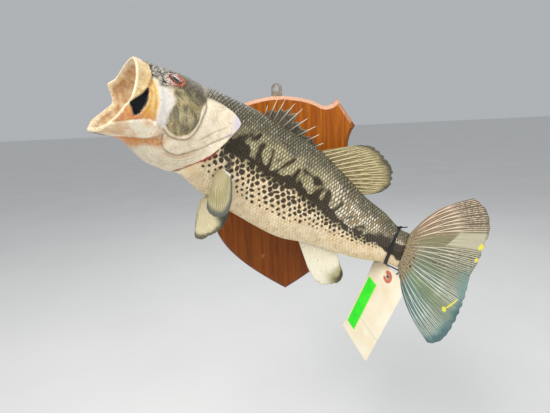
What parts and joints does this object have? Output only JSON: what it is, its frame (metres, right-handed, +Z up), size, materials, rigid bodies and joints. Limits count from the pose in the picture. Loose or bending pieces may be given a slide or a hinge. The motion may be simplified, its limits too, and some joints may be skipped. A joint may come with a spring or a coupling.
{
  "type": "mounted largemouth bass",
  "caption": "Life-size skin mount of a largemouth bass, mouth open and tail turned out, fixed to a routed wooden shield plaque with a keyhole hanger and a tie-on tag at its tail.",
  "frame": {"origin": "centre of the plaque's back face, on the wall", "axes": "+Z up along the plaque, +Y into the wall, +X towards the fish's tail (the fish's left side faces -Y)"},
  "size_m": [0.4896, 0.1991, 0.4461],
  "materials": {
    "wood": "varnished, worn pale along the top edge",
    "hanger": "dull plated",
    "skin": "painted and varnished fish skin",
    "mouth": "painted skin and membrane, satin",
    "gill": "painted, glossy",
    "eye": "glass eye",
    "fin": "dried fin, varnished",
    "tie": "black strap",
    "card": "manila card",
    "patch": "gummed reinforcement patch",
    "sticker": "fluorescent paper label, blank"
  },
  "bodies": {
    "root": {"anal_fin": "fin", "cheek_left": "skin", "cheek_right": "skin", "dorsal_fin_soft": "fin", "dorsal_fin_spiny": "fin", "eye_left": "eye", "eye_right": "eye", "gill_cover_left": "skin", "gill_cover_right": "skin", "gill_membrane_left": "mouth", "gill_membrane_right": "mouth", "gills_left": "gill", "gills_right": "gill", "hanger_plate": "hanger", "head": "skin", "lower_jaw": "mouth", "neck": "skin", "pectoral_fin_left": "fin", "pectoral_fin_right": "fin", "pelvic_fin_left": "fin", "pelvic_fin_right": "fin", "plaque": "wood", "tag_card": "card", "tag_card_rear": "card", "tag_patch": "patch", "tag_sticker": "sticker", "tail_fin": "fin", "tail_stalk": "skin", "tail_tie": "tie", "throat": "mouth", "trunk": "skin", "upper_jaw": "mouth"}
  },
  "joints": []
}
